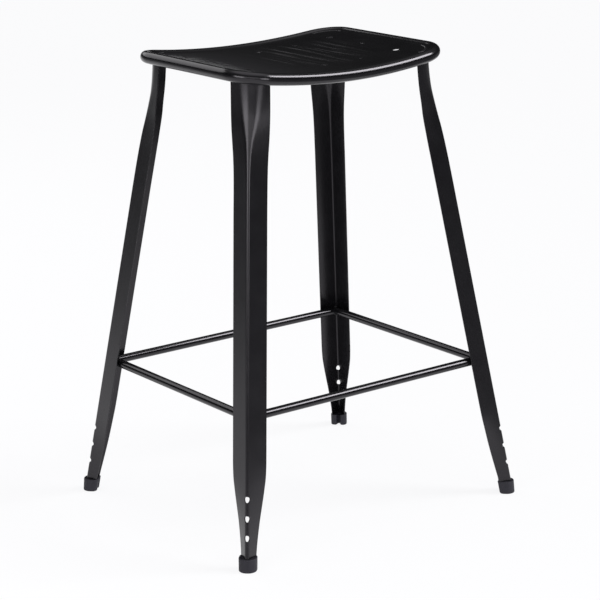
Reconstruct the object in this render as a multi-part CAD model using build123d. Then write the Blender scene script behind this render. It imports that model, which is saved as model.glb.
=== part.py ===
from build123d import *
import os
from math import acos, atan2, cos, pi, sin, sqrt

# A backless counter stool in sheet steel, in millimetres.
# It stands on z = 0 with its middle at the origin; x runs side to side and the front is at -y.

# Seat: a pressed sheet curved like a saddle, with a rolled edge.
SEAT_TOP = 660.0        # top of the rolled edge at the two raised sides
SEAT_HALF_X = 173.0     # middle of the rolled edge at the sides
SEAT_HALF_Y = 139.0     # middle of the rolled edge at the front and back, on the centre line
SEAT_EDGE_BOW = 10.4    # how much the front and back edges bow out over the whole width
SEAT_CORNER = 42.0      # plan radius of the corners, to the middle of the rolled edge
SADDLE_RISE = 13.8      # how much higher the sides are than the middle
SEAT_SHEET = 1.4        # thickness of the pan
ROLL_RADIUS = 8.4       # outside radius of the rolled edge
PAN_ABOVE_ROLL = 5.7    # the pan's top over the middle of the rolled edge
ROLL_GAP = (150.0, 196.0)   # where the curl stays open, in degrees round the roll from the outside

# Holes punched through the pan, in a ring.
HOLE_STEP_X = 64.0
HOLE_ROW_Y = 76.0
BIG_HOLE = 10.0
SMALL_HOLE = 6.0

# Legs: pressed strips with an open section, a rounded ridge with a flange on each side of it.
# Depth runs in from the ridge along the diagonal; half is half the distance between the free edges.
LEG_SHEET = 1.5
RIDGE_X = 241.5         # where the straight run's ridge would meet the floor
RIDGE_Y = 206.5
LEG_DEPTH = 21.7
LEG_HALF = 23.0
RIDGE_RADIUS = 3.6      # outside bend radius in the straight run
LEG_END = 5.0           # height of the leg's cut end, inside its rubber foot
TAPER_TOP = 142.0       # the straight run starts here
BEND_TALL = 198.0       # and ends this far below the seat's top
BEND_OUT_X = 25.5       # how far the ridge stands out there, from its place under the seat
BEND_OUT_Y = 26.3
TOP_DEPTH = 12.9        # the wide gutter under the seat
TOP_HALF = 26.7
TOP_CLEARANCE = 0.5     # between the leg's top and the inside of the rolled edge
FOOT_DEPTH = 15.8       # the pinched cut end
FOOT_HALF = 10.2
PUNCH_TOP = 97.3        # height of the highest hole in the ridge
PUNCH_STEP = 25.8
PUNCH_WIDE = 6.4        # punched round before the strip is bent, so narrower than tall
PUNCH_TALL = 8.0

# Sections of the foot, evenly spaced from the cut end up: shares of the way to the straight run's
# depth and half.
FOOT_SHAPE = (
    (0.0, 0.0),
    (0.22, 0.059),
    (0.475, 0.184),
    (0.695, 0.357),
    (0.83, 0.577),
    (0.90, 0.79),
    (0.98, 0.956),
    (1.0, 1.0),
)

# Sections of the bend, evenly spaced from the straight run up to just over the seat's top.
# Shares: how far the ridge stands out, then the way to the gutter's depth, half and radius.
BEND_SHAPE = (
    (1.0, 0.0, 0.0, 0.0),
    (0.891, 0.0, 0.0, 0.002),
    (0.780, 0.015, 0.012, 0.006),
    (0.662, 0.057, 0.07, 0.02),
    (0.534, 0.175, 0.26, 0.06),
    (0.385, 0.411, 0.59, 0.17),
    (0.244, 0.734, 0.86, 0.43),
    (0.123, 0.929, 0.98, 0.70),
    (0.055, 0.988, 1.0, 0.89),
    (0.015, 1.0, 1.0, 0.98),
    (0.0, 1.0, 1.0, 1.0),
)
BEND_OVER = 1.01        # the last section's height, as a share of BEND_TALL

# Foot rails: round rods, mitred where two meet.
RAIL_RADIUS = 6.0
RAIL_HEIGHT = 201.7
RAIL_INSET = 9.2         # from the leg's ridge to the rails' middle, along x and along y
NUGGET_RADIUS = 8.8      # weld where two rails meet in a leg
NUGGET_HEIGHT = 14.6
NUGGET_EDGE = 3.0
BEAD_RADIUS = 2.4        # weld under the pan
BEAD_INSET = 0.9         # from the leg's inside to the bead's middle

# Rubber feet, measured from the leg's ridge along the diagonal.
BOOT_HEIGHT = 18.2
BOOT_REACH = 19.5       # to the ends of the two arms
BOOT_HALF = 12.4        # half the width
BOOT_NOSE_LOW = 1.9     # rubber outside the ridge at the floor
BOOT_NOSE_TOP = 4.0     # and at the top, so that the nose stands upright
BOOT_NOSE = 11.8        # radius of the nose
BOOT_END = 6.3          # radius on the outside of the arm ends
BOOT_MOUTH = 2.4        # radius on their inside
BOOT_GROOVE = 3.6       # half the groove between the arms, at its mouth
BOOT_GROOVE_END = 8.0   # where the groove ends
BOOT_NOTCH = 1.2
BOOT_EDGE = 1.0

# The saddle is a cylinder lying along y above the seat.
SADDLE_RADIUS = (SEAT_HALF_X ** 2 + SADDLE_RISE ** 2) / (2 * SADDLE_RISE)
ROLL_LOW = SEAT_TOP - ROLL_RADIUS - SADDLE_RISE
SADDLE_AXIS = ROLL_LOW + SADDLE_RADIUS
PAN_TOP_RADIUS = SADDLE_RADIUS - PAN_ABOVE_ROLL
PAN_UNDER_RADIUS = PAN_TOP_RADIUS + SEAT_SHEET
STRAIGHT_TOP = SEAT_TOP - BEND_TALL


def saddle(radius):
    """Everything inside a cylinder along y, centred on the saddle's axis."""
    return Pos(0, 0, SADDLE_AXIS) * Rot(X=90) * Cylinder(radius, 4 * SEAT_HALF_Y)


def seat_plan(inset):
    """The seat's outline seen from above, moved in from the middle of the rolled edge."""
    x = SEAT_HALF_X - inset
    y_mid = SEAT_HALF_Y - inset
    y_end = y_mid - SEAT_EDGE_BOW
    outline = [
        ThreePointArc((-x, -y_end), (0, -y_mid), (x, -y_end)),
        Line((x, -y_end), (x, y_end)),
        ThreePointArc((x, y_end), (0, y_mid), (-x, y_end)),
        Line((-x, y_end), (-x, -y_end)),
    ]
    plan = make_face(outline)
    return fillet(plan.vertices(), SEAT_CORNER - inset)


def seat_block(inset):
    """The plan outline as a tall block through the seat."""
    return extrude(Pos(0, 0, SEAT_TOP - SEAT_HALF_X / 2) * seat_plan(inset), SEAT_HALF_X)


def rolled_edge():
    """The curled rim: an open round section carried along the edge of the saddle."""
    size = 2 * SEAT_HALF_X
    quarter = Pos(size / 2, size / 2, SEAT_TOP) * Box(size, size, size)
    skin = (seat_block(0) & quarter) & saddle(SADDLE_RADIUS)
    lowest = skin.faces().filter_by(GeomType.CYLINDER)
    lowest = lowest.sort_by(lambda f: abs(f.radius - SADDLE_RADIUS))[0]
    rim = lowest.edges().filter_by(lambda e: e.center().X > 1 and e.center().Y > 1)
    rim = rim.filter_by(lambda e: abs((e @ 0).Y) + abs((e @ 1).Y) > 1 and abs((e @ 0).X) + abs((e @ 1).X) > 1)
    path = Wire(rim)
    first, last = [radians_of(angle) for angle in ROLL_GAP]
    middle = Plane((SEAT_HALF_X, 0, ROLL_LOW + SADDLE_RISE), x_dir=(1, 0, 0), z_dir=(0, -1, 0))
    inner = ROLL_RADIUS - SEAT_SHEET
    turn = (first + last) / 2 + pi
    section = make_face([
        curl_arc(ROLL_RADIUS, last - 2 * pi, turn - 2 * pi, first),
        Line(round_point(inner, first), round_point(ROLL_RADIUS, first)),
        curl_arc(inner, last - 2 * pi, turn - 2 * pi, first),
        Line(round_point(inner, last), round_point(ROLL_RADIUS, last)),
    ])
    quarter_rim = sweep(middle * section, path=path)
    half_rim = quarter_rim + mirror(quarter_rim, about=Plane.XZ)
    return half_rim + mirror(half_rim, about=Plane.YZ)


def radians_of(degrees):
    return degrees * pi / 180


def round_point(radius, angle):
    return (radius * cos(angle), radius * sin(angle))


def curl_arc(radius, start, middle, end):
    return ThreePointArc(round_point(radius, start), round_point(radius, middle), round_point(radius, end))


def seat_pan():
    """The saddle sheet, its rolled edge and the ring of punched holes."""
    into_roll = sqrt((ROLL_RADIUS - SEAT_SHEET / 4) ** 2 - PAN_ABOVE_ROLL ** 2)
    sheet = (saddle(PAN_UNDER_RADIUS) - saddle(PAN_TOP_RADIUS)) & seat_block(into_roll)
    pan = sheet + rolled_edge()
    for column in (-2, -1, 0, 1, 2):
        for row in (-1, 0, 1):
            if row == 0 and abs(column) != 2:
                continue
            big = row != 0 and column % 2 == 0
            drill = Cylinder((BIG_HOLE if big else SMALL_HOLE) / 2, 4 * SADDLE_RISE)
            pan -= Pos(column * HOLE_STEP_X, row * HOLE_ROW_Y, SEAT_TOP - SADDLE_RISE) * drill
    return pan


def gutter_top():
    """Plan corner of the seat's rolled edge: its middle, and the radius of the gutter inside it."""
    x = SEAT_HALF_X - SEAT_CORNER
    edge_radius = (SEAT_HALF_X ** 2 + SEAT_EDGE_BOW ** 2) / (2 * SEAT_EDGE_BOW)
    y = sqrt((edge_radius - SEAT_CORNER) ** 2 - x ** 2) - edge_radius + SEAT_HALF_Y
    return x, y, SEAT_CORNER - ROLL_RADIUS - TOP_CLEARANCE


def top_ridge():
    """Where the ridge ends under the seat."""
    x, y, radius = gutter_top()
    return x + radius * sqrt(0.5), y + radius * sqrt(0.5)


def splay():
    """How far the straight run's ridge moves in for each millimetre up, along x and y."""
    x, y = top_ridge()
    return (RIDGE_X - x - BEND_OUT_X) / STRAIGHT_TOP, (RIDGE_Y - y - BEND_OUT_Y) / STRAIGHT_TOP


def ridge_at(height):
    """The straight run's ridge at a height."""
    splay_x, splay_y = splay()
    return RIDGE_X - splay_x * height, RIDGE_Y - splay_y * height


def flange_lean(depth, half, radius):
    """Angle between the diagonal and a flange that runs from the ridge's bend to its free edge."""
    return acos(radius / sqrt(half ** 2 + (depth - radius) ** 2)) - atan2(depth - radius, half)


def on_diagonal(ridge, height, depth, across):
    """A point by its distance in from the ridge along the diagonal and its distance across it."""
    x, y = ridge
    return x - (depth + across) * sqrt(0.5), y - (depth - across) * sqrt(0.5), height


def leg_section(height, ridge, depth, half, radius):
    """Open section of the leg: the bend at the ridge and the two flanges."""
    lean = flange_lean(depth, half, radius)
    inside = radius - LEG_SHEET

    def at(along, across):
        return on_diagonal(ridge, height, along, across)

    free = (depth, half)
    free_inside = (depth + LEG_SHEET * sin(lean), half - LEG_SHEET * cos(lean))
    touch = (radius - radius * sin(lean), radius * cos(lean))
    touch_inside = (radius - inside * sin(lean), inside * cos(lean))
    left = [at(*free), at(*touch), at(*touch_inside), at(*free_inside)]
    right = [at(along, -across) for along, across in (free, touch, touch_inside, free_inside)]
    return make_face([
        Line(left[0], left[1]),
        ThreePointArc(left[1], at(0, 0), right[1]),
        Line(right[1], right[0]),
        Line(right[0], right[3]),
        Line(right[3], right[2]),
        ThreePointArc(right[2], at(LEG_SHEET, 0), left[2]),
        Line(left[2], left[3]),
        Line(left[3], left[0]),
    ])


def above_pan():
    """The corner of the space above the pan's underside, to cut the leg and its weld to."""
    x, y, _ = gutter_top()
    return Pos(x, y, SEAT_TOP) * Box(3 * SEAT_CORNER, 3 * SEAT_CORNER, 2 * SEAT_CORNER) & saddle(PAN_UNDER_RADIUS)


def between(low, high, share):
    return low + (high - low) * share


def foot_sections():
    """Sections from the pinched cut end up to the straight run."""
    sections = []
    for step, (deep, wide) in enumerate(FOOT_SHAPE):
        height = between(LEG_END, TAPER_TOP, step / (len(FOOT_SHAPE) - 1))
        depth = between(FOOT_DEPTH, LEG_DEPTH, deep)
        half = between(FOOT_HALF, LEG_HALF, wide)
        sections.append(leg_section(height, ridge_at(height), depth, half, RIDGE_RADIUS))
    return sections


def bend_sections():
    """Sections from the straight run up to the wide gutter, a little past the seat's top."""
    x, y = top_ridge()
    _, _, top_radius = gutter_top()
    sections = []
    for step, (out, deep, wide, round_share) in enumerate(BEND_SHAPE):
        height = STRAIGHT_TOP + BEND_TALL * BEND_OVER * step / (len(BEND_SHAPE) - 1)
        ridge = (x + BEND_OUT_X * out, y + BEND_OUT_Y * out)
        depth = between(LEG_DEPTH, TOP_DEPTH, deep)
        half = between(LEG_HALF, TOP_HALF, wide)
        sections.append(leg_section(height, ridge, depth, half, between(RIDGE_RADIUS, top_radius, round_share)))
    return sections


def back_right_leg():
    """One leg, from the cut end in its foot up to the underside of the pan."""
    run = [leg_section(z, ridge_at(z), LEG_DEPTH, LEG_HALF, RIDGE_RADIUS) for z in (TAPER_TOP, STRAIGHT_TOP)]
    leg = loft(foot_sections()) + loft(run, ruled=True) + (loft(bend_sections()) - above_pan())
    splay_x, splay_y = splay()
    for number in range(3):
        height = PUNCH_TOP - PUNCH_STEP * number
        x, y = ridge_at(height)
        face = Plane((x, y, height), x_dir=(1, -1, 0), z_dir=(1, 1, splay_x + splay_y))
        leg -= extrude(face * Ellipse(PUNCH_WIDE / 2, PUNCH_TALL / 2), LEG_DEPTH / 2, both=True)
    return leg


def back_right_bead(leg):
    """Weld bead inside the gutter, where the leg's top meets the pan."""
    middle_x, middle_y, radius = gutter_top()
    run = radius - LEG_SHEET - BEAD_INSET
    points = []
    for step in range(9):
        angle = radians_of(90 * step / 8)
        x = middle_x + run * cos(angle)
        y = middle_y + run * sin(angle)
        points.append((x, y, SADDLE_AXIS - sqrt(PAN_UNDER_RADIUS ** 2 - x ** 2)))
    path = Spline(*points, tangents=((0, 1, 0), (-1, 0, 0)))
    start = Plane(path @ 0, z_dir=path % 0)
    bead = sweep(start * Circle(BEAD_RADIUS), path=path)
    bead = bead - leg - above_pan()
    return bead.solids().sort_by(SortBy.VOLUME)[-1]


RAIL_X, RAIL_Y = [place - RAIL_INSET for place in ridge_at(RAIL_HEIGHT)]


def rail_along_x():
    """Back rail, with its ends mitred to meet the side rails."""
    r = 1.2 * RAIL_RADIUS
    trim = Polygon(
        (-RAIL_X - r, RAIL_Y + r),
        (-RAIL_X + r, RAIL_Y - r),
        (RAIL_X - r, RAIL_Y - r),
        (RAIL_X + r, RAIL_Y + r),
        align=None,
    )
    rod = Pos(0, RAIL_Y, RAIL_HEIGHT) * Rot(Y=90) * Cylinder(RAIL_RADIUS, 2 * (RAIL_X + r))
    return rod & extrude(Pos(0, 0, RAIL_HEIGHT - r) * trim, 2 * r)


def rail_along_y():
    """Right rail, with its ends mitred to meet the front and back rails."""
    r = 1.2 * RAIL_RADIUS
    trim = Polygon(
        (RAIL_X + r, -RAIL_Y - r),
        (RAIL_X + r, RAIL_Y + r),
        (RAIL_X - r, RAIL_Y - r),
        (RAIL_X - r, -RAIL_Y + r),
        align=None,
    )
    rod = Pos(RAIL_X, 0, RAIL_HEIGHT) * Rot(X=90) * Cylinder(RAIL_RADIUS, 2 * (RAIL_Y + r))
    return rod & extrude(Pos(0, 0, RAIL_HEIGHT - r) * trim, 2 * r)


def boot_section(height, nose):
    """Rubber foot seen from above: a round nose, and two arms with a groove between them."""
    places = [
        (-nose, BOOT_HALF, BOOT_NOSE),
        (BOOT_REACH, BOOT_HALF, BOOT_END),
        (BOOT_REACH, BOOT_GROOVE, BOOT_MOUTH),
        (BOOT_GROOVE_END, 0, BOOT_NOTCH),
        (BOOT_REACH, -BOOT_GROOVE, BOOT_MOUTH),
        (BOOT_REACH, -BOOT_HALF, BOOT_END),
        (-nose, -BOOT_HALF, BOOT_NOSE),
    ]
    corners = [on_diagonal(ridge_at(height), height, along, across) for along, across, _ in places]
    shape = make_face(Polyline(*corners, close=True))
    for (x, y, _), (_, _, radius) in zip(corners, places):
        vertex = shape.vertices().sort_by(lambda v: (v.X - x) ** 2 + (v.Y - y) ** 2)[0]
        shape = fillet(vertex, radius)
    return shape


def back_right_boot(leg):
    """Rubber foot moulded round the end of the leg."""
    boot = loft([boot_section(0, BOOT_NOSE_LOW), boot_section(BOOT_HEIGHT, BOOT_NOSE_TOP)], ruled=True)
    low, high = boot.faces().sort_by(Axis.Z)[0], boot.faces().sort_by(Axis.Z)[-1]
    boot = fillet(low.edges() + high.edges(), BOOT_EDGE)
    return boot - leg


def four_corners(name, back_right):
    """The same piece at all four legs."""
    back_left = mirror(back_right, about=Plane.YZ)
    return {
        name + "_back_right": back_right,
        name + "_back_left": back_left,
        name + "_front_right": mirror(back_right, about=Plane.XZ),
        name + "_front_left": mirror(back_left, about=Plane.XZ),
    }


leg = back_right_leg()
rail_back = rail_along_x()
rail_right = rail_along_y()

nodes = {
    "seat_pan": seat_pan(),
    "rail_back": rail_back,
    "rail_front": mirror(rail_back, about=Plane.XZ),
    "rail_right": rail_right,
    "rail_left": mirror(rail_right, about=Plane.YZ),
}
nodes.update(four_corners("leg", leg))
nodes.update(four_corners("foot", back_right_boot(leg)))
nodes.update(four_corners("seat_weld", back_right_bead(leg)))
for end, y in (("front", -RAIL_Y), ("back", RAIL_Y)):
    for side, x in (("left", -RAIL_X), ("right", RAIL_X)):
        nugget = Cylinder(NUGGET_RADIUS, NUGGET_HEIGHT)
        nugget = Pos(x, y, RAIL_HEIGHT) * fillet(nugget.edges().filter_by(GeomType.CIRCLE), NUGGET_EDGE)
        nugget = nugget - nodes["rail_" + end] - nodes["rail_" + side] - nodes["leg_" + end + "_" + side]
        nodes["rail_weld_" + end + "_" + side] = nugget

os.makedirs("parts", exist_ok=True)
for node, shape in nodes.items():
    export_step(shape, "parts/" + node + ".step")
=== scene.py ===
import math

import bmesh
import bpy
from bpy.props import FloatProperty, FloatVectorProperty, PointerProperty
from bpy.types import NodeSocket, Operator, Panel, PropertyGroup
from mathutils import Matrix, Vector, noise
from mathutils.geometry import delaunay_2d_cdt


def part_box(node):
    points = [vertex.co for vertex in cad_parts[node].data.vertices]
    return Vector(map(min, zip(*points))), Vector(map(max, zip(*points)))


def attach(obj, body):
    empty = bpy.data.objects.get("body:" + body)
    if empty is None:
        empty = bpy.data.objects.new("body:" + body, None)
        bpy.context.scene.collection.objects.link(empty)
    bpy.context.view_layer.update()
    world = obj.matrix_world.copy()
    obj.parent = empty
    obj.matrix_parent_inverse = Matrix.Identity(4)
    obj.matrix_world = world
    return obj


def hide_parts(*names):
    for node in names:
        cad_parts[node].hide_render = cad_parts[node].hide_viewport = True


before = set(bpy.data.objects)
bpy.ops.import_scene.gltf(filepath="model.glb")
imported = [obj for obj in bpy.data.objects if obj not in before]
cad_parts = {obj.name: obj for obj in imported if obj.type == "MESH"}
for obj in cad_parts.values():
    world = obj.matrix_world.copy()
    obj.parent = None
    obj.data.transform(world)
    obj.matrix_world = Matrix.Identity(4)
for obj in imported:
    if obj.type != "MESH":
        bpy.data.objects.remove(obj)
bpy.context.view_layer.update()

bl_info = {
    "name": "Steel Counter Stool",
    "version": (1, 0, 0),
    "blender": (4, 5, 0),
    "location": "View3D > Sidebar > Stool",
    "description": "Builds a backless sheet-steel counter stool with a saddle seat",
    "category": "Add Mesh",
}

SEAT_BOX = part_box("seat_pan")
BACK_RAIL_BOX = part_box("rail_back")
RIGHT_RAIL_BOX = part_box("rail_right")
FOOT_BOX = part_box("foot_back_right")

# The stool's corners: name, side along X and side along Y.
CORNERS = (
    ("back_right", 1, 1),
    ("back_left", -1, 1),
    ("front_right", 1, -1),
    ("front_left", -1, -1),
)

# Sections of the leg's foot, evenly spaced from the cut end up: shares of the way to the straight
# run's depth and half width.
FOOT_SHAPE = (
    (0.0, 0.0),
    (0.22, 0.059),
    (0.475, 0.184),
    (0.695, 0.357),
    (0.83, 0.577),
    (0.90, 0.79),
    (0.98, 0.956),
    (1.0, 1.0),
)

# Sections of the leg's bend, evenly spaced from the straight run up to just over the seat's top:
# how far the ridge stands out, then the way to the gutter's depth, half width and radius.
BEND_SHAPE = (
    (1.0, 0.0, 0.0, 0.0),
    (0.891, 0.0, 0.0, 0.002),
    (0.780, 0.015, 0.012, 0.006),
    (0.662, 0.057, 0.07, 0.02),
    (0.534, 0.175, 0.26, 0.06),
    (0.385, 0.411, 0.59, 0.17),
    (0.244, 0.734, 0.86, 0.43),
    (0.123, 0.929, 0.98, 0.70),
    (0.055, 0.988, 1.0, 0.89),
    (0.015, 1.0, 1.0, 0.98),
    (0.0, 1.0, 1.0, 1.0),
)
BEND_OVER = 1.01

# Lines of the mesh along a leg: shares of the way from the ridge to a free edge.
STRIP_LINES = (
    0.0, 0.02, 0.04, 0.06, 0.082, 0.11, 0.15, 0.21, 0.29,
    0.38, 0.48, 0.58, 0.68, 0.78, 0.88, 0.95, 1.0,
)

# The ridge holes are wider across the flat strip, because the bend takes up some of their width.
PUNCH_STRETCH = 1.2

# Rows of the rubber foot's mesh: heights on its side, then depth and inset of the recess in its top.
FOOT_SIDES = (0.005, 0.010, 0.015)
FOOT_RECESS = ((0.0, 0.0016), (0.0002, 0.0021), (0.0006, 0.0024))

# The floor's painted pool of light, a pale strip with painted shade in grey on both sides: how far it runs
# on behind the stool, its half width at both ends of that run, and where it fades out on the right and on
# the left, in half widths.
FLOOR_REACH = 40
STRIP_RUN = (0.0, 5.3)
STRIP_HALF = (0.68, 1.5)
STRIP_FADES = ((1.0, 1.5), (-1.3, -4.0))

# Light from the studio's walls and ceiling: sine of the angle above the horizon, and colour.
SKY = (
    (0.0, (0.056, 0.055, 0.059)),
    (0.13, (0.0225, 0.0225, 0.0225)),
    (0.22, (0.017, 0.017, 0.017)),
    (0.4, (0.0155, 0.0155, 0.0155)),
    (0.6, (0.085, 0.085, 0.085)),
    (0.77, (0.215, 0.215, 0.215)),
    (0.93, (1.05, 1.05, 1.05)),
)

# Soft lights: name, angle from +X and angle above the aim in degrees, width and height, power.
SOFT_LIGHTS = (
    ("left_softbox", 195, 11.5, (1.35, 0.95), 17),
    ("right_softbox", 269.5, 9.5, (1.0, 0.9), 12.5),
    ("front_card", 232, 17, (1.9, 0.8), 7),
    ("back_card", 102, 29, (2.2, 1.3), 14),
)
SOFT_LIGHT_DISTANCE = 2.6
KEY_DISTANCE = 4.0
LIGHT_AIM = Vector((0, 0, 0.5))


# Properties that a user may change.

def length(name, description, default):
    return FloatProperty(name=name, description=description, default=default, unit="LENGTH", precision=4)


def degrees(name, description, default):
    return FloatProperty(name=name, description=description, default=math.radians(default), subtype="ANGLE")


def factor(name, description, default):
    return FloatProperty(name=name, description=description, default=default, min=0.0, max=1.0,
                         subtype="FACTOR")


def colour(name, description, default):
    return FloatVectorProperty(name=name, description=description, default=default, size=3, subtype="COLOR",
                               min=0.0, max=1.0)


class StoolSeat(PropertyGroup):
    """Sizes of the seat"""

    half_width: length("Half width", "Middle of the rolled edge at the raised sides", 0.173)
    half_depth: length("Half depth", "Middle of the rolled edge at the front, on the centre line", 0.139)
    edge_bow: length("Edge bow", "How much the front and back edges bow out", 0.0104)
    corner: length("Corner radius", "Plan radius of the corners", 0.042)
    top: length("Top", "Height of the rolled edge at the raised sides", SEAT_BOX[1][2])
    rise: length("Saddle rise", "How much higher the sides are than the middle", 0.0138)
    roll: length("Roll radius", "Outside radius of the rolled edge", 0.0084)
    roll_end: degrees("Roll end", "Where the rolled sheet ends, as an angle round from its outside", -164)
    pan_above: length("Pan above roll", "The pan's top over the middle of the rolled edge", 0.0057)
    groove: length("Groove radius", "Inside radius where the pan turns up into the roll", 0.003)
    sheet: length("Sheet", "Thickness of the pan", 0.0014)
    cut_edge: length("Cut edges", "Width of the softened cut edges", 0.00025)
    hole_step: length("Hole step", "Distance between holes along a row", 0.064)
    hole_row: length("Hole row", "Distance of a row from the centre line", 0.076)
    big_hole: length("Large holes", "Diameter of the large holes", 0.010)
    small_hole: length("Small holes", "Diameter of the small holes", 0.006)


class StoolLegs(PropertyGroup):
    """Sizes of the legs"""

    ridge_x: length("Ridge x", "Where the straight run's ridge would meet the floor", 0.2415)
    ridge_y: length("Ridge y", "Where the straight run's ridge would meet the floor", 0.2065)
    depth: length("Depth", "From the ridge in to the free edges, along the diagonal", 0.0217)
    half: length("Half width", "Half the distance between the free edges", 0.023)
    bend: length("Ridge radius", "Outside radius of the ridge in the straight run", 0.0036)
    sheet: length("Sheet", "Thickness of the leg's strip", 0.0015)
    cut_edge: length("Cut edges", "Width of the softened cut edges", 0.0005)
    end: length("Cut end", "Height of the cut end, inside the rubber foot", 0.005)
    taper_top: length("Foot top", "Where the foot turns into the straight run", 0.142)
    bend_tall: length("Bend", "Height of the bend, from the straight run to the seat's top", 0.198)
    out_x: length("Bend out x", "How far the ridge stands out where the bend starts", 0.0255)
    out_y: length("Bend out y", "How far the ridge stands out where the bend starts", 0.0263)
    top_depth: length("Gutter depth", "Depth of the wide gutter under the seat", 0.0129)
    top_half: length("Gutter half width", "Half width of the gutter under the seat", 0.0267)
    top_gap: length("Gutter gap", "Between the gutter and the rolled edge", 0.0005)
    foot_depth: length("Foot depth", "Depth at the cut end", 0.0158)
    foot_half: length("Foot half width", "Half width at the cut end", 0.0102)
    punch: length("Ridge holes", "Diameter of the holes in the ridge", 0.008)
    punch_top: length("Top hole", "Height of the highest hole in the ridge", 0.0973)
    punch_step: length("Hole step", "Distance between the ridge holes", 0.0258)


class StoolRails(PropertyGroup):
    """Sizes of the foot rails"""

    half_x: length("Half length x", "Middle of the side rails",
                   (RIGHT_RAIL_BOX[0][0] + RIGHT_RAIL_BOX[1][0]) / 2)
    half_y: length("Half length y", "Middle of the front and back rails",
                   (BACK_RAIL_BOX[0][1] + BACK_RAIL_BOX[1][1]) / 2)
    height: length("Height", "Height of the rails' middle", (BACK_RAIL_BOX[0][2] + BACK_RAIL_BOX[1][2]) / 2)
    radius: length("Radius", "Radius of the rods", (BACK_RAIL_BOX[1][2] - BACK_RAIL_BOX[0][2]) / 2)
    cut_edge: length("Cut edges", "Width of the softened edges at the mitred ends", 0.0003)


class StoolFeet(PropertyGroup):
    """Sizes of the rubber feet"""

    height: length("Height", "Height of the rubber feet", FOOT_BOX[1][2])
    reach: length("Reach", "From the leg's ridge to the ends of the two arms", 0.0195)
    half: length("Half width", "Half the width", 0.0124)
    edge: length("Edge radius", "Radius of the edges at the floor and the top", 0.001)
    nose_low: length("Nose at the floor", "Rubber outside the ridge at the floor", 0.00188)
    nose_top: length("Nose at the top", "Rubber outside the ridge at the top", 0.00396)
    nose: length("Nose radius", "Radius of the round nose", 0.0118)
    arm: length("Arm radius", "Radius of the arms' outer corners", 0.0063)
    groove: length("Groove", "Half the groove between the arms", 0.0036)
    groove_end: length("Groove end", "Where the groove ends", 0.008)
    groove_root: length("Groove root", "Radius at the groove's inner end", 0.0012)
    groove_lip: length("Groove lip", "Radius of the corners at the groove's mouth", 0.0024)


class StoolWelds(PropertyGroup):
    """Sizes of the welds"""

    nugget: length("Nugget", "Radius of the lump over two rail ends", 0.0074)
    nugget_tall: factor("Nugget height", "The lump's height as a share of its width", 0.93)
    nugget_waves: length("Nugget waves", "Depth of the lump's broad unevenness", 0.0007)
    nugget_bumps: length("Nugget bumps", "Depth of the lump's small bumps", 0.0003)
    bead: length("Bead", "Radius of the run of weld under the seat", 0.00235)
    bead_gap: length("Bead gap", "From the rolled edge in to the middle of the run", 0.0031)
    bead_ripples: length("Bead ripples", "Depth of the run's even ripples", 0.0002)
    bead_bumps: length("Bead bumps", "Depth of the run's uneven bumps", 0.00015)


class StoolFinish(PropertyGroup):
    """Colours of the stool and the floor"""

    coat: colour("Coat", "Black powder coat", (0.0042, 0.0040, 0.0050))
    coat_worn: colour("Coat, rubbed", "Black powder coat where it is rubbed", (0.0075, 0.0074, 0.0085))
    coat_scuffed: colour("Coat, scuffed", "Black powder coat at rubbed lines and worn edges",
                         (0.055, 0.054, 0.057))
    coat_shine: colour("Coat, shine", "Tint of the powder coat's shine", (0.97, 0.93, 1.0))
    rubber: colour("Rubber", "Moulded rubber of the feet", (0.0125, 0.0117, 0.0178))
    # The pale strip and the grey beside it paint a pool of light on the floor: the grey is painted shade,
    # not the floor's own colour.
    floor: colour("Floor", "Pale strip of floor under and behind the stool", (0.95, 0.95, 0.96))
    floor_painted_shade: colour("Floor, far", "Grey floor on both sides of the pale strip", (0.22, 0.22, 0.225))


class StoolStage(PropertyGroup):
    """Camera, floor and main light"""

    distance: length("Camera distance", "From the stool's middle line to the camera", 3.034)
    aim: length("Camera aim", "Height of the point that the camera looks at", 0.2914)
    azimuth: degrees("Azimuth", "Camera's turn round the stool", -36.69)
    elevation: degrees("Elevation", "Camera's angle above the floor", 15.68)
    roll: degrees("Roll", "Camera's tilt", -0.96)
    lens: FloatProperty(name="Lens", description="Focal length in millimetres", default=126.06,
                        unit="CAMERA")
    shift_x: FloatProperty(name="Shift x", description="Sideways shift of the frame", default=0.0089)
    shift_y: FloatProperty(name="Shift y", description="Upward shift of the frame", default=0.0009)
    floor_glow: factor("Floor glow", "Share of the floor's white that stays white in shadow", 0.88)
    key_strength: FloatProperty(name="Key light", description="Strength of the key light", default=2.2)
    key_soft: degrees("Key softness", "Width of the key light as an angle", 26)
    key_turn: degrees("Key turn", "Key light's angle from +X, round the stool", 325)
    key_height: degrees("Key height", "Key light's angle above its aim", 39)


# Mesh helpers.

def between(low, high, share):
    return low + (high - low) * share


def new_piece(name, mesh, material, node_names):
    """Puts a mesh in the scene as one piece of the stool, in place of its CAD nodes."""
    piece = bpy.data.objects.new(name, mesh)
    bpy.context.scene.collection.objects.link(piece)
    mesh.materials.append(material)
    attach(piece, "root")
    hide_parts(*node_names)
    return piece


def mesh_from(name, points, faces):
    mesh = bpy.data.meshes.new(name)
    mesh.from_pydata([tuple(p) for p in points], [], faces)
    mesh.validate()
    mesh.shade_smooth()
    mesh.update()
    return mesh


def face_outwards(mesh):
    work = bmesh.new()
    work.from_mesh(mesh)
    bmesh.ops.recalc_face_normals(work, faces=work.faces)
    work.to_mesh(mesh)
    work.free()


def tube_faces(rings, count, capped=True):
    """Faces over rings of points that follow each other, with a face over each end."""
    faces = []
    for ring in range(rings - 1):
        a, b = ring * count, (ring + 1) * count
        for i in range(count):
            j = (i + 1) % count
            faces.append((a + i, b + i, b + j, a + j))
    if capped:
        faces.append(tuple(range(count)))
        faces.append(tuple((rings - 1) * count + i for i in reversed(range(count))))
    return faces


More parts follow.
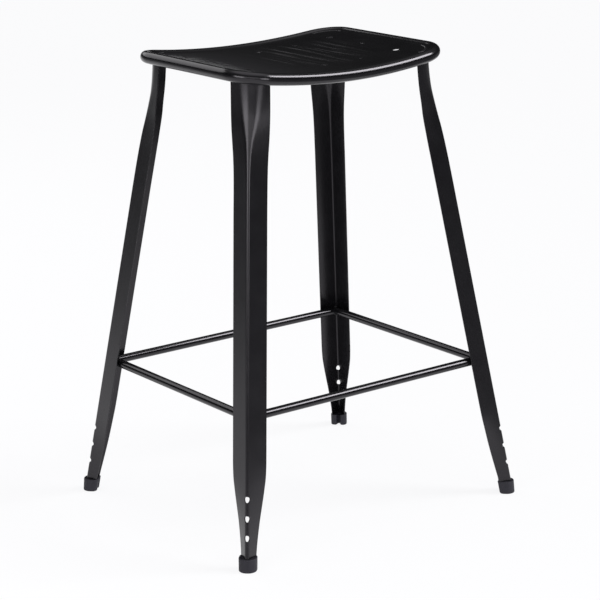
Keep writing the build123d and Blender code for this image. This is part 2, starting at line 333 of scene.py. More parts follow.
def mirrored(points, faces, sx, sy):
    """The same skin at another corner of the stool, still facing outwards."""
    moved = [Vector((p.x * sx, p.y * sy, p.z)) for p in points]
    if sx * sy < 0:
        faces = [tuple(reversed(f)) for f in faces]
    return moved, faces


def soften(piece, name, width, segments, angle):
    """Softens the edges that are sharper than an angle in degrees."""
    soft = piece.modifiers.new(name, "BEVEL")
    soft.width = width
    soft.segments = segments
    soft.limit_method = "ANGLE"
    soft.angle_limit = math.radians(angle)
    soft.harden_normals = True


def thicken(piece, thickness, cut_edge):
    """Gives a sheet its thickness, inwards from its outer skin, and softens the cut edges."""
    solid = piece.modifiers.new("Sheet thickness", "SOLIDIFY")
    solid.thickness = thickness
    solid.offset = -1.0
    solid.use_even_offset = True
    solid.use_quality_normals = True
    soften(piece, "Cut edges", cut_edge, 3, 50)


def circle(x, y, rx, ry, count):
    """Points round an ellipse, in order."""
    turn = 2 * math.pi / count
    return [(x + rx * math.cos(turn * i), y + ry * math.sin(turn * i)) for i in range(count)]


def rounded_loop(corners, radii, steps):
    """A closed outline with its corners rounded."""
    loop = []
    count = len(corners)
    for i, (corner, radius) in enumerate(zip(corners, radii)):
        here = Vector(corner)
        back = (Vector(corners[i - 1]) - here).normalized()
        on = (Vector(corners[(i + 1) % count]) - here).normalized()
        half = back.angle(on) / 2
        middle = here + (back + on).normalized() * (radius / math.sin(half))
        first = here + back * (radius / math.tan(half)) - middle
        last = here + on * (radius / math.tan(half)) - middle
        swing = math.pi - 2 * half
        for s in range(steps + 1):
            turn = swing * s / steps
            loop.append(middle + (first * math.sin(swing - turn) + last * math.sin(turn)) / math.sin(swing))
    return loop


def inside(point, loop):
    """True if a flat point is within a closed loop."""
    x, y = point
    found = False
    for (x0, y0), (x1, y1) in zip(loop, loop[1:] + loop[:1]):
        if (y0 > y) != (y1 > y) and x < x0 + (y - y0) * (x1 - x0) / (y1 - y0):
            found = not found
    return found


def flat_sheet(border, holes, fillers):
    """Triangles over a flat outline with holes. The border's points come first and in order."""
    points = list(border)
    edges = [(i, (i + 1) % len(border)) for i in range(len(border))]
    for hole in holes:
        start = len(points)
        points += hole
        edges += [(start + i, start + (i + 1) % len(hole)) for i in range(len(hole))]
    points += fillers
    flat, _, faces, sources, _, _ = delaunay_2d_cdt([Vector(p) for p in points], edges, [], 1, 1e-9)
    flat = [(p.x, p.y) for p in flat]
    kept = []
    for face in faces:
        middle = (sum(flat[i][0] for i in face) / 3, sum(flat[i][1] for i in face) / 3)
        if inside(middle, border) and not any(inside(middle, hole) for hole in holes):
            kept.append(tuple(face))
    return flat, kept, sources


def smooth_table(rows, height):
    """Reads a table by its first column along a smooth curve that never overshoots."""
    if height <= rows[0][0]:
        return rows[0][1:]
    if height >= rows[-1][0]:
        return rows[-1][1:]
    k = max(i for i in range(len(rows) - 1) if rows[i][0] <= height)
    step = rows[k + 1][0] - rows[k][0]
    t = (height - rows[k][0]) / step

    def slope(i, column):
        return (rows[i + 1][column] - rows[i][column]) / (rows[i + 1][0] - rows[i][0])

    def tangent(i, column):
        if i == 0:
            return slope(0, column)
        if i == len(rows) - 1:
            return slope(i - 1, column)
        a, b = slope(i - 1, column), slope(i, column)
        return 0.0 if a * b <= 0 else 2 * a * b / (a + b)

    values = []
    for column in range(1, len(rows[0])):
        p0, p1 = rows[k][column], rows[k + 1][column]
        m0, m1 = tangent(k, column) * step, tangent(k + 1, column) * step
        values.append(
            p0 * (2 * t ** 3 - 3 * t ** 2 + 1) + m0 * (t ** 3 - 2 * t ** 2 + t)
            + p1 * (3 * t ** 2 - 2 * t ** 3) + m1 * (t ** 3 - t ** 2)
        )
    return values


# The seat's shape.

def saddle_height(seat, x, above):
    """Height over the floor of the saddle surface that lies this far above the roll's middle."""
    radius = (seat.half_width ** 2 + seat.rise ** 2) / (2 * seat.rise)
    middle = seat.top - seat.roll - seat.rise + radius
    return middle - math.sqrt((radius - above) ** 2 - x * x)


def under_pan(seat, x):
    """Height of the pan's underside."""
    return saddle_height(seat, x, seat.pan_above - seat.sheet)


def seat_corner(seat):
    """Radius of the bowed front and back edges, and the middle of a corner's arc."""
    big = (seat.half_width ** 2 + seat.edge_bow ** 2) / (2 * seat.edge_bow)
    x = seat.half_width - seat.corner
    y = math.sqrt((big - seat.corner) ** 2 - x * x) - big + seat.half_depth
    return big, x, y


def seat_edge(seat):
    """Points along the middle of the rolled edge, anticlockwise from above, with outward directions."""
    w, d, r = seat.half_width, seat.half_depth, seat.corner
    big, cx, cy = seat_corner(seat)
    lean = math.asin(cx / (big - r))
    side_steps, corner_steps, front_steps = 9, 18, 17
    quarter = []
    for i in range(side_steps):
        quarter.append((w, cy * i / side_steps, 1.0, 0.0))
    for i in range(corner_steps):
        angle = (math.pi / 2 - lean) * i / corner_steps
        out_x, out_y = math.cos(angle), math.sin(angle)
        quarter.append((cx + r * out_x, cy + r * out_y, out_x, out_y))
    for i in range(front_steps):
        angle = lean * (1 - i / front_steps)
        out_x, out_y = math.sin(angle), math.cos(angle)
        quarter.append((big * out_x, d - big + big * out_y, out_x, out_y))
    quarter.append((0.0, d, 0.0, 1.0))
    half = quarter + [(-x, y, -nx, ny) for x, y, nx, ny in reversed(quarter[1:-1])]
    half.append((-w, 0.0, -1.0, 0.0))
    return half + [(x, -y, nx, -ny) for x, y, nx, ny in reversed(half[1:-1])]


def roll_profile(seat):
    """The rolled edge's outer skin from the pan's flat to the end of the roll: out, up."""
    r, up, g = seat.roll, seat.pan_above, seat.groove
    across = -math.sqrt((r + g) ** 2 - (up + g) ** 2)
    touch = math.atan2(up + g, across)
    groove_steps, roll_steps = 6, 30
    profile = []
    for i in range(groove_steps):
        angle = -math.pi / 2 + (touch - math.pi / 2) * i / groove_steps
        profile.append((across + g * math.cos(angle), up + g + g * math.sin(angle)))
    for i in range(roll_steps + 1):
        angle = touch + (seat.roll_end - touch) * i / roll_steps
        profile.append((r * math.cos(angle), r * math.sin(angle)))
    return profile


def roll_rings(seat, edge):
    """The profile carried round the seat's edge: one ring of points for each step of it."""
    rings = []
    for out, up in roll_profile(seat):
        ring = []
        for i, (x, y, nx, ny) in enumerate(edge):
            before, after = edge[i - 1], edge[(i + 1) % len(edge)]
            climb = saddle_height(seat, after[0], 0) - saddle_height(seat, before[0], 0)
            along = Vector((after[0] - before[0], after[1] - before[1], climb))
            outward = Vector((nx, ny, 0))
            upright = outward.cross(along).normalized()
            ring.append(Vector((x, y, saddle_height(seat, x, 0))) + outward * out + upright * up)
        rings.append(ring)
    return rings


def seat_holes(seat):
    """Centres and radii of the punched holes."""
    holes = []
    for column in (-2, -1, 0, 1, 2):
        for row in (-1, 0, 1):
            if row == 0 and abs(column) != 2:
                continue
            size = seat.big_hole if row and column % 2 == 0 else seat.small_hole
            holes.append((column * seat.hole_step, row * seat.hole_row, size / 2))
    return holes


def pan_fillers(seat, edge, border):
    """Points within the pan: rings round its holes, a line along its border, and a grid."""
    grid, border_gap, hole_gap = 0.0075, 0.004, 0.007
    holes = seat_holes(seat)
    fillers = []
    for x, y, r in holes:
        for gap, count in ((0.0012, 28), (0.0035, 20)):
            fillers += circle(x, y, r + gap, r + gap, count)
    inner = [(x - nx * border_gap, y - ny * border_gap) for (x, y), (_, _, nx, ny) in zip(border, edge)]
    fillers += inner
    columns, rows = math.ceil(seat.half_width / grid), math.ceil(seat.half_depth / grid)
    for i in range(-columns, columns + 1):
        for j in range(-rows, rows + 1):
            spot = (i * grid, j * grid)
            clear = all(math.dist(spot, (x, y)) >= r + hole_gap for x, y, r in holes)
            if clear and inside(spot, inner) and min(math.dist(spot, p) for p in inner) > border_gap:
                fillers.append(spot)
    return fillers


def seat_mesh(seat):
    """The outer skin of the seat: the pan with its holes, then the rolled edge."""
    edge = seat_edge(seat)
    rings = roll_rings(seat, edge)
    count = len(edge)
    border = [(p.x, p.y) for p in rings[0]]
    holes = [circle(x, y, r, r, 28) for x, y, r in seat_holes(seat)]
    flat, faces, sources = flat_sheet(border, holes, pan_fillers(seat, edge, border))
    points = [Vector((x, y, saddle_height(seat, x, seat.pan_above))) for x, y in flat]
    place = {s: index for index, source in enumerate(sources) for s in source}
    previous = [place[i] for i in range(count)]
    for index, point in zip(previous, rings[0]):
        points[index] = point
    for ring in rings[1:]:
        current = list(range(len(points), len(points) + count))
        points += ring
        for i in range(count):
            j = (i + 1) % count
            faces.append((previous[i], current[i], current[j], previous[j]))
        previous = current
    return mesh_from("seat_pan_sheet", points, faces)


# The legs' shape.

def leg_rows(legs, seat):
    """The leg's section at each height: ridge x and y, depth, half width, ridge radius."""
    _, corner_x, corner_y = seat_corner(seat)
    top_radius = seat.corner - seat.roll - legs.top_gap
    top_x, top_y = corner_x + top_radius * math.sqrt(0.5), corner_y + top_radius * math.sqrt(0.5)
    straight_top = seat.top - legs.bend_tall
    hold = 0.02

    def ridge(z):
        share = z / straight_top
        return (between(legs.ridge_x, top_x + legs.out_x, share),
                between(legs.ridge_y, top_y + legs.out_y, share))

    rows = []
    for step, (deep, wide) in enumerate(FOOT_SHAPE):
        z = between(legs.end, legs.taper_top, step / (len(FOOT_SHAPE) - 1))
        rows.append((z, *ridge(z), between(legs.foot_depth, legs.depth, deep),
                     between(legs.foot_half, legs.half, wide), legs.bend))
    rows.append((straight_top - hold, *ridge(straight_top - hold), legs.depth, legs.half, legs.bend))
    for step, (out, deep, wide, turn) in enumerate(BEND_SHAPE):
        z = straight_top + legs.bend_tall * BEND_OVER * step / (len(BEND_SHAPE) - 1)
        rows.append((z, top_x + legs.out_x * out, top_y + legs.out_y * out,
                     between(legs.depth, legs.top_depth, deep),
                     between(legs.half, legs.top_half, wide),
                     between(legs.bend, top_radius, turn)))
    return rows


def flange_lean(depth, half, radius):
    """Angle between the diagonal and a flange that runs from the ridge's bend to its free edge."""
    return math.acos(radius / math.hypot(half, depth - radius)) - math.atan2(depth - radius, half)


def on_diagonal(x, y, z, depth, across):
    """A point by its distance in from the ridge along the diagonal and its distance across it."""
    return Vector((x - (depth + across) * math.sqrt(0.5), y - (depth - across) * math.sqrt(0.5), z))


def leg_half_strip(section):
    """Half the flat width of the strip at one section."""
    _, _, depth, half, radius = section
    flat = math.sqrt(half ** 2 + (depth - radius) ** 2 - radius ** 2)
    return radius * (math.pi / 2 - flange_lean(depth, half, radius)) + flat


def leg_point(section, z, along):
    """A point on the leg's outer skin, by its distance along the strip from the ridge."""
    x, y, depth, half, radius = section
    lean = flange_lean(depth, half, radius)
    side = math.copysign(1.0, along)
    curved = radius * (math.pi / 2 - lean)
    run = abs(along)
    if run <= curved:
        turn = run / radius
        return on_diagonal(x, y, z, radius - radius * math.cos(turn), side * radius * math.sin(turn))
    rest = run - curved
    return on_diagonal(x, y, z, radius - radius * math.sin(lean) + rest * math.cos(lean),
                       side * (radius * math.cos(lean) + rest * math.sin(lean)))


def leg_top(rows, seat, share):
    """Height at which a line of the strip meets the underside of the pan, found step by step."""
    z = seat.top - 0.01
    for _ in range(6):
        section = smooth_table(rows, z)
        spot = leg_point(section, z, share * leg_half_strip(section))
        z = under_pan(seat, spot.x)
    return z


def leg_heights(legs):
    """Heights of the mesh's level rows, close together at the foot and in the bend."""
    foot_top, bend_start, last = 0.15, 0.46, 0.625
    close, wide = 0.0035, 0.008
    heights = [legs.end]
    while heights[-1] < last:
        z = heights[-1]
        heights.append(z + (close if z < foot_top or z > bend_start else wide))
    return heights


def leg_grid(legs, seat, rows):
    """Points of the flat strip, row by row: along the strip's width, and height."""
    shares = [-s for s in reversed(STRIP_LINES[1:])] + list(STRIP_LINES)
    grid = []
    for z in leg_heights(legs):
        half = leg_half_strip(smooth_table(rows, z))
        grid.append([(s * half, z) for s in shares])
    crown = []
    for s in shares:
        z = leg_top(rows, seat, s)
        crown.append((s * leg_half_strip(smooth_table(rows, z)), z))
    level = grid[-1]
    for part in (0.3, 0.6, 0.85, 1.0):
        grid.append([(between(a, c, part), between(b, d, part)) for (a, b), (c, d) in zip(level, crown)])
    return grid


def leg_mesh(legs, seat):
    """Points and faces of the outer skin of the leg at the back right."""
    rows = leg_rows(legs, seat)
    grid = leg_grid(legs, seat, rows)
    border = list(grid[0]) + [row[-1] for row in grid[1:-1]] + list(reversed(grid[-1]))
    border += [row[0] for row in reversed(grid[1:-1])]
    centres = [legs.punch_top - legs.punch_step * i for i in range(3)]
    radius = legs.punch / 2
    wide = PUNCH_STRETCH * radius
    clear, clear_stretch = 0.0027, 1.15
    holes, fillers = [], []
    for z in centres:
        holes.append(circle(0.0, z, wide, radius, 44))
        for gap, count in ((0.0006, 44), (0.0018, 36)):
            fillers += circle(0.0, z, wide + gap, radius + gap, count)
    for row in grid[1:-1]:
        for a, z in row[1:-1]:
            if all(math.hypot(a / clear_stretch, z - c) > radius + clear for c in centres):
                fillers.append((a, z))
    spots, faces, _ = flat_sheet(border, holes, fillers)
    return [leg_point(smooth_table(rows, z), z, along) for along, z in spots], faces


# Materials.

def new_material(name):
    """A new material with its node tree, its shader and the place on the piece."""
    material = bpy.data.materials.new(name)
    material.use_nodes = True
    tree = material.node_tree
    place = tree.nodes.new("ShaderNodeTexCoord")
    return material, tree, tree.nodes["Principled BSDF"], place.outputs["Object"]


def grain(tree, place, scale, detail, roughness):
    """An uneven pattern from 0 to 1."""
    item = tree.nodes.new("ShaderNodeTexNoise")
    item.inputs["Scale"].default_value = scale
    item.inputs["Detail"].default_value = detail
    item.inputs["Roughness"].default_value = roughness
    tree.links.new(place, item.inputs["Vector"])
    return item.outputs["Fac"]


def stretched(tree, place, scale):
    """The place on the piece, scaled along each axis."""
    item = tree.nodes.new("ShaderNodeMapping")
    item.inputs["Scale"].default_value = scale
    tree.links.new(place, item.inputs["Vector"])
    return item.outputs["Vector"]


def joined(tree, operation, first, second):
    """Two values put together by one sum."""
    item = tree.nodes.new("ShaderNodeMath")
    item.operation = operation
    tree.links.new(first, item.inputs[0])
    tree.links.new(second, item.inputs[1])
    return item.outputs["Value"]


def ease(tree, source, span=(0.0, 1.0), to=(0.0, 1.0), kind="LINEAR"):
    """Maps one range onto another, held at its ends."""
    item = tree.nodes.new("ShaderNodeMapRange")
    item.interpolation_type = kind
    item.inputs["From Min"].default_value, item.inputs["From Max"].default_value = span
    item.inputs["To Min"].default_value, item.inputs["To Max"].default_value = to
    tree.links.new(source, item.inputs["Value"])
    return item.outputs["Result"]


def mixed(tree, amount, first, second):
    """A colour between two. The first is plain or comes from another node."""
    item = tree.nodes.new("ShaderNodeMix")
    item.data_type = "RGBA"
    if isinstance(first, NodeSocket):
        tree.links.new(first, item.inputs["A"])
    else:
        item.inputs["A"].default_value = (*first, 1)
    item.inputs["B"].default_value = (*second, 1)
    tree.links.new(amount, item.inputs["Factor"])
    return item.outputs["Result"]


def bumped(tree, height, strength, distance, under=None):
    """A surface direction that follows a pattern, over another one if there is one."""
    item = tree.nodes.new("ShaderNodeBump")
    item.inputs["Strength"].default_value = strength
    item.inputs["Distance"].default_value = distance
    tree.links.new(height, item.inputs["Height"])
    if under:
        tree.links.new(under, item.inputs["Normal"])
    return item.outputs["Normal"]


def worn_edges(tree, patches):
    """Sharp cut edges where the coat is thin, in patches."""
    shape = tree.nodes.new("ShaderNodeNewGeometry")
    edges = ease(tree, shape.outputs["Pointiness"], (0.54, 0.62))
    return joined(tree, "MULTIPLY", edges, ease(tree, patches, (0.42, 0.62)))


def rubbed_lines(tree, place, streaks, middle, inner, outer):
    """Fine lines along the sheet round the place where it is sat on, fading out at a distance."""
    across, along = 2.1, 0.8
    scale = [s * (across if s == max(streaks) else along) for s in streaks]
    lines = grain(tree, stretched(tree, place, scale), 1.0, 4.0, 0.6)
    away = tree.nodes.new("ShaderNodeVectorMath")
    away.operation = "DISTANCE"
    away.inputs[1].default_value = middle
    tree.links.new(place, away.inputs[0])
    near = ease(tree, away.outputs["Value"], (outer, inner), kind="SMOOTHSTEP")
    return joined(tree, "MULTIPLY", ease(tree, lines, (0.52, 0.68)), near)


def coat_material(name, finish, streaks, gloss, peel_depth=0.045, rubbed_at=None):
    """Black powder coat with fine orange peel, slow waves of the sheet and worn cut edges.

    Where a middle and two distances are given, fine lines are rubbed into it there.
    """
    material, tree, shader, place = new_material(name)
    scuff_roughness = 0.22
    peel = grain(tree, place, 620.0, 2.0, 0.5)
    patches = grain(tree, place, 26.0, 5.0, 0.62)
    waves = grain(tree, stretched(tree, place, streaks), 1.0, 3.0, 0.55)
    scuffs = worn_edges(tree, patches)
    if rubbed_at:
        scuffs = joined(tree, "MAXIMUM", scuffs, rubbed_lines(tree, place, streaks, *rubbed_at))
    plain = mixed(tree, ease(tree, patches, to=(-0.5, 1.4)), finish.coat, finish.coat_worn)
    tree.links.new(mixed(tree, scuffs, plain, finish.coat_scuffed), shader.inputs["Base Color"])
    dull = ease(tree, scuffs, to=(0.0, scuff_roughness))
    tree.links.new(joined(tree, "ADD", dull, ease(tree, patches, to=gloss)), shader.inputs["Roughness"])
    fine = bumped(tree, peel, peel_depth, 0.00015)
    tree.links.new(bumped(tree, waves, 0.08, 0.0008, fine), shader.inputs["Normal"])
    shader.inputs["Specular IOR Level"].default_value = 0.475
    shader.inputs["Specular Tint"].default_value = (*finish.coat_shine, 1)
    return material


def frame_coat(finish):
    """The coat of the legs and the welds."""
    return bpy.data.materials.get("black_coat_frame") or coat_material(
        "black_coat_frame", finish, (30, 30, 6), (0.19, 0.30))


def rubber_material(name, finish):
    """Moulded rubber: matt, slightly grainy, a little dusty."""
    material, tree, shader, place = new_material(name)
    pits = grain(tree, place, 900.0, 3.0, 0.6)
    dust = grain(tree, place, 110.0, 4.0, 0.6)
    dusty = [c * 1.6 for c in finish.rubber]
    tree.links.new(mixed(tree, dust, finish.rubber, dusty), shader.inputs["Base Color"])
    tree.links.new(ease(tree, dust, to=(0.5, 0.72)), shader.inputs["Roughness"])
    tree.links.new(bumped(tree, pits, 0.25, 0.0003), shader.inputs["Normal"])
    shader.inputs["Specular IOR Level"].default_value = 0.4
    return material


# Operators, one for each kind of piece.

class STOOL_OT_seat(Operator):
    """Builds the saddle seat with its rolled edge and punched holes"""

    bl_idname = "stool.seat"
    bl_label = "Seat"

    def execute(self, context):
        seat = context.scene.stool_seat
        sat_on = Vector((0.035, 0.01, seat.top))
        material = coat_material("black_coat_seat", context.scene.stool_finish, (55, 7, 30), (0.12, 0.24),
                                 rubbed_at=(sat_on, 0.05, 0.105))
        piece = new_piece("seat", seat_mesh(seat), material, ["seat_pan"])
        thicken(piece, seat.sheet, seat.cut_edge)
        return {"FINISHED"}


class STOOL_OT_legs(Operator):
    """Builds the four pressed legs with their corner holes"""

    bl_idname = "stool.legs"
    bl_label = "Legs"

    def execute(self, context):
        legs = context.scene.stool_legs
        points, faces = leg_mesh(legs, context.scene.stool_seat)
        material = frame_coat(context.scene.stool_finish)
        for corner, sx, sy in CORNERS:
            mesh = mesh_from("leg_" + corner + "_strip", *mirrored(points, faces, sx, sy))
            piece = new_piece("pressed_leg_" + corner, mesh, material, ["leg_" + corner])
            thicken(piece, legs.sheet, legs.cut_edge)
        return {"FINISHED"}


class STOOL_OT_rails(Operator):
    """Builds the four foot rails, mitred where they meet"""

    bl_idname = "stool.rails"
    bl_label = "Foot rails"

    def execute(self, context):
        rails = context.scene.stool_rails
        material = coat_material("black_coat_rails", context.scene.stool_finish, (12, 12, 12), (0.11, 0.17),
                                 peel_depth=0.015)
        runs = (
            ("back", Vector((1, 0, 0)), Vector((0, 1, 0)), rails.half_x, rails.half_y),
            ("front", Vector((-1, 0, 0)), Vector((0, -1, 0)), rails.half_x, rails.half_y),
            ("right", Vector((0, -1, 0)), Vector((1, 0, 0)), rails.half_y, rails.half_x),
            ("left", Vector((0, 1, 0)), Vector((-1, 0, 0)), rails.half_y, rails.half_x),
        )
        for name, along, out, half, offset in runs:
            mesh = mesh_from("rail_" + name + "_rod", *self.rod(rails, along, out, half, offset))
            face_outwards(mesh)
            piece = new_piece("foot_rail_" + name, mesh, material, ["rail_" + name])
            soften(piece, "Cut ends", rails.cut_edge, 2, 40)
        return {"FINISHED"}

    def rod(self, rails, along, out, half, offset):
        """A round rod whose ends are cut at 45 degrees, longest on its outer side."""
        count, stations = 48, 24
        points = []
        for s in range(stations + 1):
            for i in range(count):
                angle = 2 * math.pi * i / count
                side = rails.radius * math.cos(angle)
                reach = (half + side) * (2 * s / stations - 1)
                height = rails.height + rails.radius * math.sin(angle)
                points.append(along * reach + out * (offset + side) + Vector((0, 0, height)))
        return points, tube_faces(stations + 1, count)


class STOOL_OT_feet(Operator):
    """Builds the four moulded rubber feet"""

    bl_idname = "stool.feet"
    bl_label = "Rubber feet"

    def execute(self, context):
        scene = context.scene
        feet = scene.stool_feet
        leg = leg_rows(scene.stool_legs, scene.stool_seat)
        material = rubber_material("moulded_rubber", scene.stool_finish)
        levels = self.levels(feet)
        points = []
        for z, inset in levels:
            loop = self.outline(feet, z, inset)
            points += [on_diagonal(*self.ridge(leg, z), z, p.x, p.y) for p in loop]
        faces = tube_faces(len(levels), len(loop))
        for corner, sx, sy in CORNERS:
            mesh = mesh_from("foot_" + corner + "_boot", *mirrored(points, faces, sx, sy))
            face_outwards(mesh)
            new_piece("rubber_foot_" + corner, mesh, material, ["foot_" + corner])
        return {"FINISHED"}

    def levels(self, feet):
        """Heights of the outlines and how far each lies within the full one, from the floor up."""
        steps = 4
        turns = [math.pi / 2 * i / steps for i in range(steps + 1)]
        rounded = [(feet.edge * (1 - math.cos(a)), feet.edge * (1 - math.sin(a))) for a in turns]
        rows = rounded + [(z, 0.0) for z in FOOT_SIDES]
        rows += [(feet.height - z, inset) for z, inset in reversed(rounded)]
        return rows + [(feet.height - depth, inset) for depth, inset in FOOT_RECESS]

    def outline(self, feet, z, inset):
        """A round nose and two arms with a groove between them: in from the ridge, and across."""
        nose = between(feet.nose_low, feet.nose_top, z / feet.height) - inset
        far, wide, mouth = feet.reach - inset, feet.half - inset, feet.groove + inset
        root = feet.groove_end - 1.4 * inset
        corners = [(-nose, wide), (far, wide), (far, mouth), (root, 0.0),
                   (far, -mouth), (far, -wide), (-nose, -wide)]
        lip = max(feet.groove_lip - inset, 0.0002)
        radii = [feet.nose - inset, feet.arm - inset, lip, feet.groove_root + inset,
                 lip, feet.arm - inset, feet.nose - inset]
        return rounded_loop(corners, radii, 10)

    def ridge(self, leg, z):
        """The leg's ridge, carried on below its cut end."""
        low, high = leg[0], leg[1]
        share = (z - low[0]) / (high[0] - low[0])
        return between(low[1], high[1], share), between(low[2], high[2], share)


class STOOL_OT_welds(Operator):
    """Builds the welds at the rail ends and under the seat"""

    bl_idname = "stool.welds"
    bl_label = "Welds"

    def execute(self, context):
        scene = context.scene
        material = frame_coat(scene.stool_finish)
        nugget = self.nugget(scene.stool_welds, scene.stool_rails)
        bead = self.bead(scene.stool_welds, scene.stool_seat)
        for corner, sx, sy in CORNERS:
            for shape, node, name in ((nugget, "rail_weld_", "nugget"), (bead, "seat_weld_", "bead")):
                mesh = mesh_from(node + corner + "_" + name, *mirrored(*shape, sx, sy))
                face_outwards(mesh)
                new_piece(name + "_" + corner, mesh, material, [node + corner])
        return {"FINISHED"}

    def nugget(self, welds, rails):
        """A lump of weld over the mitre of two rails, a little uneven."""
        rings, count = 14, 28
        wave_step, bump_step = 2.3, 7.0
        middle = Vector((rails.half_x, rails.half_y, rails.height))
        points = []
        for i in range(rings + 1):
            tilt = math.pi * i / rings
            for j in range(count):
                turn = 2 * math.pi * j / count
                flat = math.sin(tilt)
                way = Vector((flat * math.cos(turn), flat * math.sin(turn), math.cos(tilt)))
                size = (welds.nugget + welds.nugget_waves * noise.noise(way * wave_step)
                        + welds.nugget_bumps * noise.noise(way * bump_step))
                points.append(middle + Vector((way.x, way.y, way.z * welds.nugget_tall)) * size)
        return points, tube_faces(rings + 1, count, capped=False)

    def bead(self, welds, seat):
        """A rippled run of weld inside the gutter, under the pan, thinner at its ends."""
        steps, count = 72, 14
        ripple_step, bump_step = 2.1, 0.7
        end_size, end_growth = 0.35, 0.22
        _, corner_x, corner_y = seat_corner(seat)
        run = seat.corner - seat.roll - welds.bead_gap
        points = []
        for i in range(steps + 1):
            angle = math.pi / 2 * i / steps
            out = Vector((math.cos(angle), math.sin(angle), 0))
            spot = Vector((corner_x, corner_y, 0)) + out * run
            spot.z = under_pan(seat, spot.x)
            size = (welds.bead + welds.bead_ripples * math.sin(i * ripple_step)
                    + welds.bead_bumps * noise.noise(Vector((i * bump_step, 0, 0))))
            size *= min(1.0, end_size + min(i, steps - i) * end_growth)
            for j in range(count):
                turn = 2 * math.pi * j / count
                points.append(spot + (out * math.cos(turn) + Vector((0, 0, math.sin(turn)))) * size)
        return points, tube_faces(steps + 1, count)


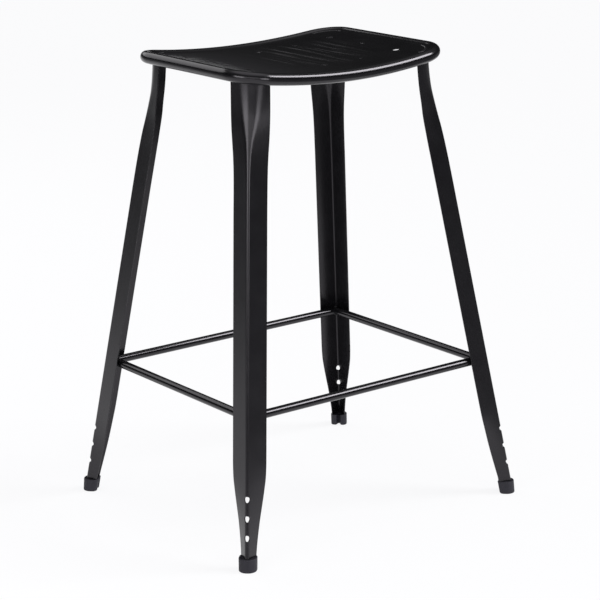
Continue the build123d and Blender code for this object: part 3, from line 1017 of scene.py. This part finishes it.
class STOOL_OT_stage(Operator):
    """Sets up the floor with its painted pool of light, the soft studio light and the camera"""

    bl_idname = "stool.stage"
    bl_label = "Stage"

    def execute(self, context):
        scene = context.scene
        stage = scene.stool_stage
        scene.view_settings.view_transform = "Standard"
        self.floor(scene, scene.stool_finish, stage)
        self.world(scene)
        self.lights(scene, stage)
        self.camera(scene, stage)
        return {"FINISHED"}

    def floor(self, scene, finish, stage):
        """A wide floor with a painted pool of light, a pale strip with painted shade in grey beside it,
        which stays white where it is seen and keeps a soft shadow.
        """
        corners = [(x * FLOOR_REACH, y * FLOOR_REACH, 0) for x, y in ((-1, -1), (1, -1), (1, 1), (-1, 1))]
        mesh = mesh_from("floor_sheet", corners, [(0, 1, 2, 3)])
        floor = bpy.data.objects.new("floor", mesh)
        scene.collection.objects.link(floor)
        material, tree, shader, place = new_material("floor_painted_light")
        shader.inputs["Roughness"].default_value = 0.9
        shader.inputs["Specular IOR Level"].default_value = 0.1
        # Painted light and shade: pale floor colour on the strip, grey painted shade beside it; the glow
        # below carries the same painted pool.
        tint = mixed(tree, self.strip(tree, place, stage.azimuth), finish.floor, finish.floor_painted_shade)
        tree.links.new(tint, shader.inputs["Base Color"])
        glow = tree.nodes.new("ShaderNodeEmission")
        glow.inputs["Strength"].default_value = 1 / max(finish.floor)
        tree.links.new(tint, glow.inputs["Color"])
        path = tree.nodes.new("ShaderNodeLightPath")
        seen = path.outputs["Is Camera Ray"]
        for ray in ("Is Glossy Ray", "Is Transmission Ray"):
            seen = joined(tree, "MAXIMUM", seen, path.outputs[ray])
        both = tree.nodes.new("ShaderNodeMixShader")
        tree.links.new(ease(tree, seen, to=(0.0, stage.floor_glow)), both.inputs["Fac"])
        tree.links.new(shader.outputs["BSDF"], both.inputs[1])
        tree.links.new(glow.outputs["Emission"], both.inputs[2])
        tree.links.new(both.outputs["Shader"], tree.nodes["Material Output"].inputs["Surface"])
        material.cycles.emission_sampling = "NONE"
        mesh.materials.append(material)

    def strip(self, tree, place, turn):
        """0 in the painted pool of light on the pale strip of floor, and 1 in the painted shade away from
        it.
        """
        turned = tree.nodes.new("ShaderNodeMapping")
        turned.vector_type = "TEXTURE"
        turned.inputs["Rotation"].default_value = (0, 0, turn)
        tree.links.new(place, turned.inputs["Vector"])
        split = tree.nodes.new("ShaderNodeSeparateXYZ")
        tree.links.new(turned.outputs["Vector"], split.inputs["Vector"])
        half = ease(tree, split.outputs["Y"], STRIP_RUN, STRIP_HALF)
        across = joined(tree, "DIVIDE", split.outputs["X"], half)
        right, left = [ease(tree, across, fade, kind="SMOOTHSTEP") for fade in STRIP_FADES]
        return joined(tree, "ADD", right, left)

    def world(self, scene):
        """A dim studio, brightest straight above."""
        world = bpy.data.worlds.new("studio")
        scene.world = world
        world.use_nodes = True
        tree = world.node_tree
        place = tree.nodes.new("ShaderNodeTexCoord")
        split = tree.nodes.new("ShaderNodeSeparateXYZ")
        tree.links.new(place.outputs["Generated"], split.inputs["Vector"])
        ramp = tree.nodes.new("ShaderNodeValToRGB")
        ramp.color_ramp.interpolation = "EASE"
        stops = ramp.color_ramp.elements
        stops[0].position, stops[1].position = SKY[0][0], SKY[-1][0]
        for position, _ in SKY[1:-1]:
            stops.new(position)
        for stop, (_, tint) in zip(stops, SKY):
            stop.color = (*tint, 1)
        tree.links.new(split.outputs["Z"], ramp.inputs["Fac"])
        tree.links.new(ramp.outputs["Color"], tree.nodes["Background"].inputs["Color"])

    def lights(self, scene, stage):
        """A soft key light and four soft boxes, each turned to the stool."""
        key = bpy.data.lights.new("key_light", "SUN")
        key.energy = stage.key_strength
        key.angle = stage.key_soft
        self.lamp(scene, key, stage.key_turn, stage.key_height, KEY_DISTANCE)
        for name, turn, height, size, power in SOFT_LIGHTS:
            box = bpy.data.lights.new(name, "AREA")
            box.shape = "RECTANGLE"
            box.size, box.size_y = size
            box.energy = power
            self.lamp(scene, box, math.radians(turn), math.radians(height), SOFT_LIGHT_DISTANCE)

    def lamp(self, scene, light, turn, height, distance):
        """Hangs a light by its angle from +X, its angle above the aim and its distance from it."""
        flat = distance * math.cos(height)
        way = Vector((flat * math.cos(turn), flat * math.sin(turn), distance * math.sin(height)))
        holder = bpy.data.objects.new(light.name, light)
        scene.collection.objects.link(holder)
        holder.location = LIGHT_AIM + way
        holder.rotation_euler = (-way).to_track_quat("-Z", "Y").to_euler()
        holder.visible_camera = False

    def camera(self, scene, stage):
        """The camera at the photograph's viewing angle."""
        lens = bpy.data.cameras.new("camera")
        lens.lens = stage.lens
        lens.sensor_width = 36.0
        lens.shift_x, lens.shift_y = stage.shift_x, stage.shift_y
        holder = bpy.data.objects.new("camera", lens)
        scene.collection.objects.link(holder)
        a, e = stage.azimuth, stage.elevation
        back = Vector((math.sin(a) * math.cos(e), -math.cos(a) * math.cos(e), math.sin(e)))
        right = Vector((math.cos(a), math.sin(a), 0))
        up = back.cross(right)
        c, s = math.cos(stage.roll), math.sin(stage.roll)
        across, upright = right * c + up * s, up * c - right * s
        turn = Matrix((across, upright, back)).transposed()
        place = Vector((0, 0, stage.aim)) + back * stage.distance
        holder.matrix_world = Matrix.Translation(place) @ turn.to_4x4()
        scene.camera = holder


class STOOL_PT_panel(Panel):
    """Lists the stool's pieces with their sizes, and the finish"""

    bl_idname = "STOOL_PT_panel"
    bl_label = "Counter stool"
    bl_space_type = "VIEW_3D"
    bl_region_type = "UI"
    bl_category = "Stool"

    def draw(self, context):
        for group in GROUPS:
            box = self.layout.box()
            if group == "stool_finish":
                box.label(text="Finish")
            else:
                box.operator(group.replace("_", "."))
            for name in GROUPS[group].__annotations__:
                box.prop(getattr(context.scene, group), name)


GROUPS = {
    "stool_finish": StoolFinish,
    "stool_seat": StoolSeat,
    "stool_legs": StoolLegs,
    "stool_rails": StoolRails,
    "stool_feet": StoolFeet,
    "stool_welds": StoolWelds,
    "stool_stage": StoolStage,
}
CLASSES = tuple(GROUPS.values()) + (
    STOOL_OT_seat,
    STOOL_OT_legs,
    STOOL_OT_rails,
    STOOL_OT_feet,
    STOOL_OT_welds,
    STOOL_OT_stage,
    STOOL_PT_panel,
)


def register():
    for item in CLASSES:
        bpy.utils.register_class(item)
    for name, group in GROUPS.items():
        setattr(bpy.types.Scene, name, PointerProperty(type=group))


def unregister():
    for name in GROUPS:
        delattr(bpy.types.Scene, name)
    for item in reversed(CLASSES):
        bpy.utils.unregister_class(item)


def main():
    register()
    bpy.ops.stool.seat()
    bpy.ops.stool.legs()
    bpy.ops.stool.rails()
    bpy.ops.stool.feet()
    bpy.ops.stool.welds()
    bpy.ops.stool.stage()


if __name__ == "__main__":
    main()
